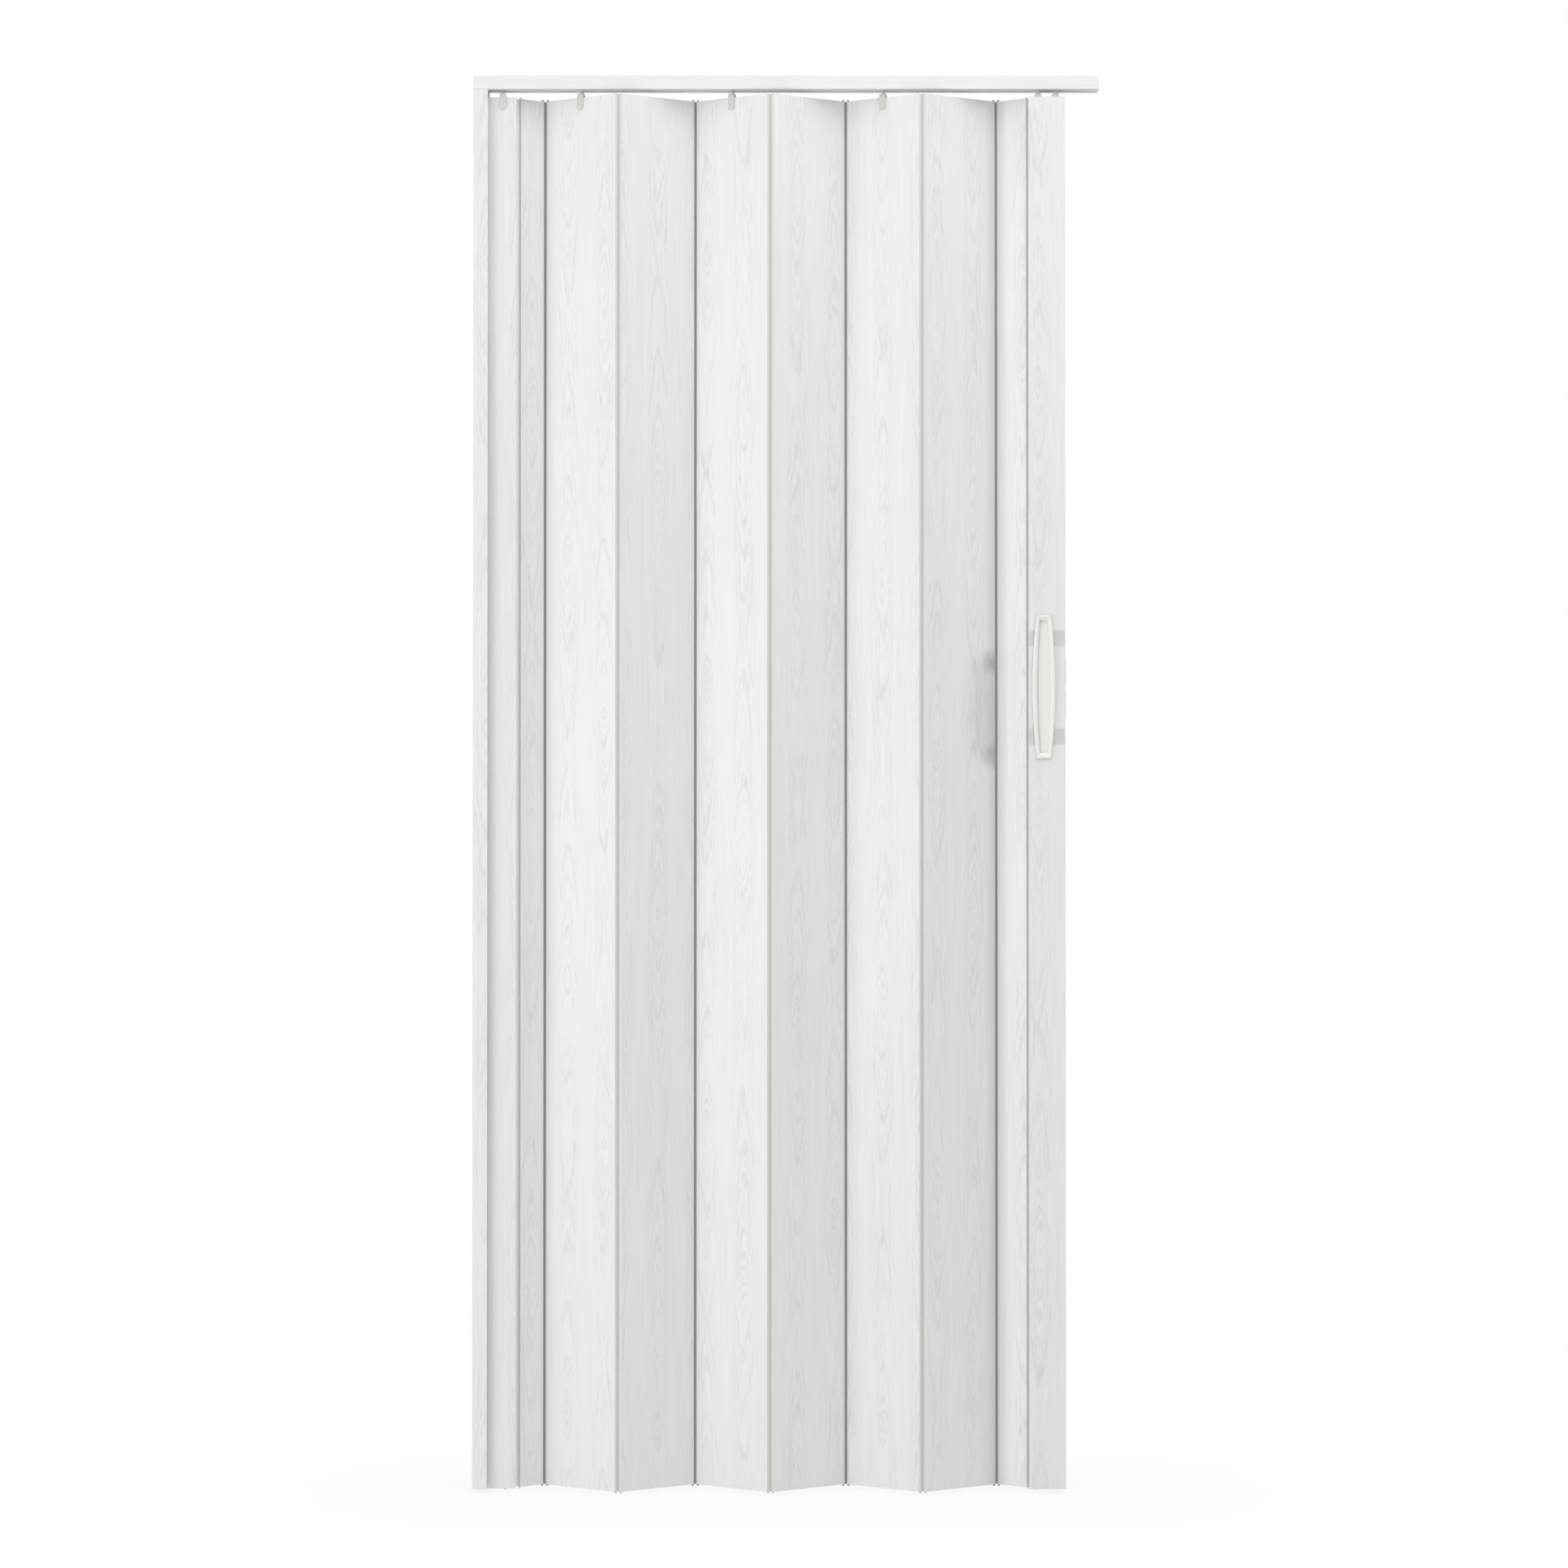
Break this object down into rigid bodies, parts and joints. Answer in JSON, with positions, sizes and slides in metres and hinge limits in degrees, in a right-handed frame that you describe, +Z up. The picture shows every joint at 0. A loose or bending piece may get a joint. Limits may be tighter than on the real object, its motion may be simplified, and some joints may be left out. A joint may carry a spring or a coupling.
{
  "type": "accordion folding door",
  "caption": "Accordion folding door: hollow wood-grain lamellas joined by slide-in hinge strips, hung by gliders from a slotted top rail, with a wall jamb and shell handles.",
  "frame": {"origin": "middle of the top rail's upper face, which screws to the lintel", "axes": "+X along the rail to the closing side, -Y towards the front, +Z up"},
  "size_m": [0.9, 0.0656, 2.0325],
  "materials": {
    "ash_foil": "satin white foil with a fine pale ash grain",
    "soft_strip": "soft warm-grey hinge plastic, satin",
    "hanger_nylon": "natural moulded nylon, satin",
    "handle_plastic": "warm white moulded plastic, half gloss",
    "latch_plastic": "pale grey moulded plastic, half gloss"
  },
  "bodies": {
    "fixed_frame": {"top_rail": "ash_foil", "wall_jamb": "ash_foil", "start_panel": "ash_foil", "start_hanger": "hanger_nylon"},
    "start_leaf": {"start_hinge_strip": "soft_strip", "start_flap": "ash_foil"},
    "strip_1": {"hinge_strip_1": "soft_strip"},
    "leaf_1": {"lamella_1": "ash_foil", "hanger_1": "hanger_nylon"},
    "strip_2": {"hinge_strip_2": "soft_strip"},
    "leaf_2": {"lamella_2": "ash_foil"},
    "strip_3": {"hinge_strip_3": "soft_strip"},
    "leaf_3": {"lamella_3": "ash_foil", "hanger_2": "hanger_nylon"},
    "strip_4": {"hinge_strip_4": "soft_strip"},
    "leaf_4": {"lamella_4": "ash_foil"},
    "strip_5": {"hinge_strip_5": "soft_strip"},
    "leaf_5": {"lamella_5": "ash_foil", "hanger_3": "hanger_nylon"},
    "strip_6": {"hinge_strip_6": "soft_strip"},
    "leaf_6": {"lamella_6": "ash_foil"},
    "strip_7": {"hinge_strip_7": "soft_strip"},
    "end_leaf": {"end_flap": "ash_foil", "end_hinge_strip": "soft_strip"},
    "closing_side": {"closing_panel": "ash_foil", "closing_hanger_1": "hanger_nylon", "closing_hanger_2": "hanger_nylon", "front_handle": "handle_plastic", "rear_handle": "handle_plastic", "latch_plate": "latch_plastic"}
  },
  "joints": [
    {"name": "fold", "type": "hinge", "parent": "fixed_frame", "child": "start_leaf", "pos_m": [-0.4034, 0, -1.03], "axis": [0, 0, 1], "range_deg": [-7.5, 52]},
    {"name": "strip_1_turn", "type": "hinge", "parent": "start_leaf", "child": "strip_1", "pos_m": [-0.3526, 0.02933, -1.03], "axis": [0, 0, 1], "range_deg": [-52, 7.5]},
    {"name": "leaf_1_turn", "type": "hinge", "parent": "strip_1", "child": "leaf_1", "pos_m": [-0.3454, 0.02933, -1.03], "axis": [0, 0, 1], "range_deg": [-52, 7.5]},
    {"name": "strip_2_turn", "type": "hinge", "parent": "leaf_1", "child": "strip_2", "pos_m": [-0.2438, -0.02933, -1.03], "axis": [0, 0, 1], "range_deg": [-7.5, 52]},
    {"name": "leaf_2_turn", "type": "hinge", "parent": "strip_2", "child": "leaf_2", "pos_m": [-0.2366, -0.02933, -1.03], "axis": [0, 0, 1], "range_deg": [-7.5, 52]},
    {"name": "strip_3_turn", "type": "hinge", "parent": "leaf_2", "child": "strip_3", "pos_m": [-0.135, 0.02933, -1.03], "axis": [0, 0, 1], "range_deg": [-52, 7.5]},
    {"name": "leaf_3_turn", "type": "hinge", "parent": "strip_3", "child": "leaf_3", "pos_m": [-0.1278, 0.02933, -1.03], "axis": [0, 0, 1], "range_deg": [-52, 7.5]},
    {"name": "strip_4_turn", "type": "hinge", "parent": "leaf_3", "child": "strip_4", "pos_m": [-0.0262, -0.02933, -1.03], "axis": [0, 0, 1], "range_deg": [-7.5, 52]},
    {"name": "leaf_4_turn", "type": "hinge", "parent": "strip_4", "child": "leaf_4", "pos_m": [-0.01901, -0.02933, -1.03], "axis": [0, 0, 1], "range_deg": [-7.5, 52]},
    {"name": "strip_5_turn", "type": "hinge", "parent": "leaf_4", "child": "strip_5", "pos_m": [0.08259, 0.02933, -1.03], "axis": [0, 0, 1], "range_deg": [-52, 7.5]},
    {"name": "leaf_5_turn", "type": "hinge", "parent": "strip_5", "child": "leaf_5", "pos_m": [0.08979, 0.02933, -1.03], "axis": [0, 0, 1], "range_deg": [-52, 7.5]},
    {"name": "strip_6_turn", "type": "hinge", "parent": "leaf_5", "child": "strip_6", "pos_m": [0.19139, -0.02933, -1.03], "axis": [0, 0, 1], "range_deg": [-7.5, 52]},
    {"name": "leaf_6_turn", "type": "hinge", "parent": "strip_6", "child": "leaf_6", "pos_m": [0.19859, -0.02933, -1.03], "axis": [0, 0, 1], "range_deg": [-7.5, 52]},
    {"name": "strip_7_turn", "type": "hinge", "parent": "leaf_6", "child": "strip_7", "pos_m": [0.30019, 0.02933, -1.03], "axis": [0, 0, 1], "range_deg": [-52, 7.5]},
    {"name": "end_leaf_turn", "type": "hinge", "parent": "strip_7", "child": "end_leaf", "pos_m": [0.30739, 0.02933, -1.03], "axis": [0, 0, 1], "range_deg": [-52, 7.5]},
    {"name": "closing_turn", "type": "hinge", "parent": "end_leaf", "child": "closing_side", "pos_m": [0.35819, 0, -1.03], "axis": [0, 0, 1], "range_deg": [-7.5, 52]}
  ],
  "couplings": [
    {"joint": "strip_1_turn", "follows": "fold", "ratio": -1},
    {"joint": "leaf_1_turn", "follows": "fold", "ratio": -1},
    {"joint": "strip_2_turn", "follows": "fold", "ratio": 1},
    {"joint": "leaf_2_turn", "follows": "fold", "ratio": 1},
    {"joint": "strip_3_turn", "follows": "fold", "ratio": -1},
    {"joint": "leaf_3_turn", "follows": "fold", "ratio": -1},
    {"joint": "strip_4_turn", "follows": "fold", "ratio": 1},
    {"joint": "leaf_4_turn", "follows": "fold", "ratio": 1},
    {"joint": "strip_5_turn", "follows": "fold", "ratio": -1},
    {"joint": "leaf_5_turn", "follows": "fold", "ratio": -1},
    {"joint": "strip_6_turn", "follows": "fold", "ratio": 1},
    {"joint": "leaf_6_turn", "follows": "fold", "ratio": 1},
    {"joint": "strip_7_turn", "follows": "fold", "ratio": -1},
    {"joint": "end_leaf_turn", "follows": "fold", "ratio": -1},
    {"joint": "closing_turn", "follows": "fold", "ratio": 1}
  ]
}
